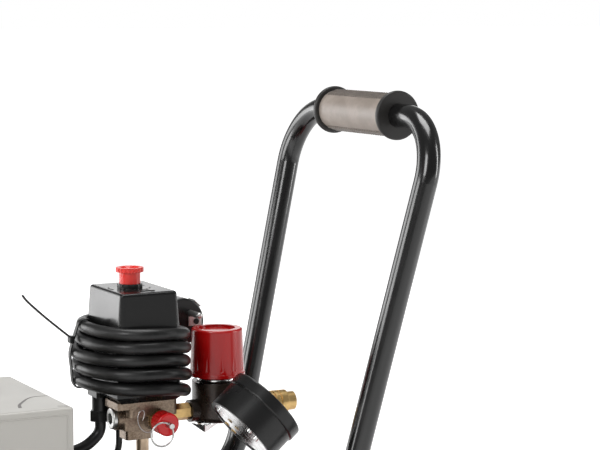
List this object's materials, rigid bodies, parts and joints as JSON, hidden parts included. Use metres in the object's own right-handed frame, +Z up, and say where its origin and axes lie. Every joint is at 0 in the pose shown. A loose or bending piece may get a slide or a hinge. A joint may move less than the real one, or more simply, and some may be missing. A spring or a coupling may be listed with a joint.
{
  "type": "portable air compressor",
  "caption": "Wheeled direct-drive air compressor: domed tank, cowled motor and piston pump, pressure switch with wound mains lead, regulator with gauge and quick coupler, tubular handle",
  "frame": {"origin": "middle of the footprint on the floor, under the tank's side of the box centre", "axes": "+X towards the handle, +Z up, -Y the side that the relief valve and gauge stand on"},
  "size_m": [0.622, 0.302, 0.619],
  "materials": {
    "tank_paint": "gloss paint, orange-peel",
    "frame_black": "gloss powder coat",
    "rubber": "satin moulded rubber",
    "tyre": "matt solid rubber",
    "steel": "zinc plated",
    "chrome": "plated",
    "wheel_plastic": "moulded",
    "switch_plastic": "fine moulded texture",
    "red_plastic": "moulded",
    "cast_alloy": "as cast",
    "cast_dark": "painted casting",
    "brass": "turned",
    "pipe": "bronzed tube",
    "cowl_grey": "fine moulded texture",
    "dial_white": "printed plate",
    "needle_red": "painted",
    "lens": "clear window"
  },
  "bodies": {
    "base": {"air_filter": "wheel_plastic", "axle_bolts": "steel", "bleed_tube": "switch_plastic", "cable_tie": "switch_plastic", "check_valve": "brass", "coupler_body": "brass", "crankcase": "cast_alloy", "cylinder": "cast_dark", "cylinder_head": "cast_alloy", "delivery_pipe": "pipe", "drain_body": "brass", "foot_bracket": "frame_black", "foot_pads": "rubber", "gauge_back": "chrome", "gauge_case": "switch_plastic", "gauge_dial": "dial_white", "gauge_lens": "lens", "gauge_stem": "brass", "handle_bolts": "steel", "handle_grip": "rubber", "handle_tube": "frame_black", "manifold": "cast_alloy", "manifold_plug": "steel", "motor_cable": "rubber", "motor_cowl": "cowl_grey", "motor_gland": "switch_plastic", "platform": "frame_black", "plug_body": "wheel_plastic", "plug_pins": "steel", "regulator_body": "cast_dark", "regulator_nipple": "brass", "regulator_nub": "chrome", "relief_body": "brass", "relief_cap": "red_plastic", "riser_pipe": "pipe", "rubber_mounts": "rubber", "stator": "cast_dark", "supply_cord_coil": "rubber", "supply_cord_lead": "rubber", "supply_gland": "switch_plastic", "switch_base": "switch_plastic", "switch_contacts": "wheel_plastic", "switch_cover": "switch_plastic", "tank_shell": "tank_paint", "wheel_brackets": "frame_black"},
    "wheel_left": {"wheel_rim_left": "wheel_plastic", "tyre_left": "tyre"},
    "wheel_right": {"wheel_rim_right": "wheel_plastic", "tyre_right": "tyre"},
    "switch_button": {"switch_knob": "red_plastic"},
    "regulator_handle": {"regulator_knob": "red_plastic"},
    "relief_pin": {"relief_stem": "steel"},
    "relief_pull_ring": {"relief_ring": "steel"},
    "drain_screw": {"drain_knob": "brass"},
    "coupler_collar": {"coupler_sleeve": "brass"},
    "gauge_pointer": {"gauge_needle": "needle_red"},
    "rotating_group": {"motor_shaft": "steel", "fan": "wheel_plastic"},
    "rod": {"connecting_rod": "steel"},
    "piston_body": {"piston": "cast_alloy"}
  },
  "joints": [
    {"name": "wheel_left_spin", "type": "hinge", "parent": "base", "child": "wheel_left", "pos_m": [-0.207, 0.135, 0.08], "axis": [0, 1, 0], "continuous": true},
    {"name": "wheel_right_spin", "type": "hinge", "parent": "base", "child": "wheel_right", "pos_m": [-0.207, -0.135, 0.08], "axis": [0, 1, 0], "continuous": true},
    {"name": "switch_knob_press", "type": "slide", "parent": "base", "child": "switch_button", "axis": [0, 0, 1], "range_m": [-0.0075, 0]},
    {"name": "regulator_knob_turn", "type": "hinge", "parent": "base", "child": "regulator_handle", "pos_m": [0.1625, 0, 0.42], "axis": [0, 0, 1], "range_deg": [-1080, 1080]},
    {"name": "relief_pull", "type": "slide", "parent": "base", "child": "relief_pin", "axis": [0, -1, 0], "range_m": [0, 0.003], "stiffness_N_per_m": 2000},
    {"name": "relief_ring_swing", "type": "hinge", "parent": "relief_pin", "child": "relief_pull_ring", "pos_m": [0.103, -0.0462, 0.3767], "axis": [0.6691, 0, -0.7431], "range_deg": [-75, 0]},
    {"name": "drain_turn", "type": "hinge", "parent": "base", "child": "drain_screw", "pos_m": [-0.05, 0, 0.02], "axis": [0, 0, 1], "range_deg": [-360, 0]},
    {"name": "coupler_sleeve_slide", "type": "slide", "parent": "base", "child": "coupler_collar", "axis": [1, 0, 0], "range_m": [-0.004, 0], "stiffness_N_per_m": 800},
    {"name": "gauge_needle_turn", "type": "hinge", "parent": "base", "child": "gauge_pointer", "pos_m": [0.1662, -0.058, 0.3797], "axis": [0.76, 0, 0.65], "range_deg": [-270, 0]},
    {"name": "motor_spin", "type": "hinge", "parent": "base", "child": "rotating_group", "pos_m": [-0.08, 0, 0.336], "axis": [1, 0, 0], "continuous": true},
    {"name": "rod_orbit", "type": "hinge", "parent": "rotating_group", "child": "rod", "pos_m": [-0.215, 0, 0.347], "axis": [1, 0, 0], "continuous": true},
    {"name": "piston_stroke", "type": "slide", "parent": "base", "child": "piston_body", "axis": [0, 0, 1], "range_m": [-0.022, 0]}
  ],
  "couplings": [
    {"joint": "rod_orbit", "follows": "motor_spin", "ratio": -1}
  ]
}
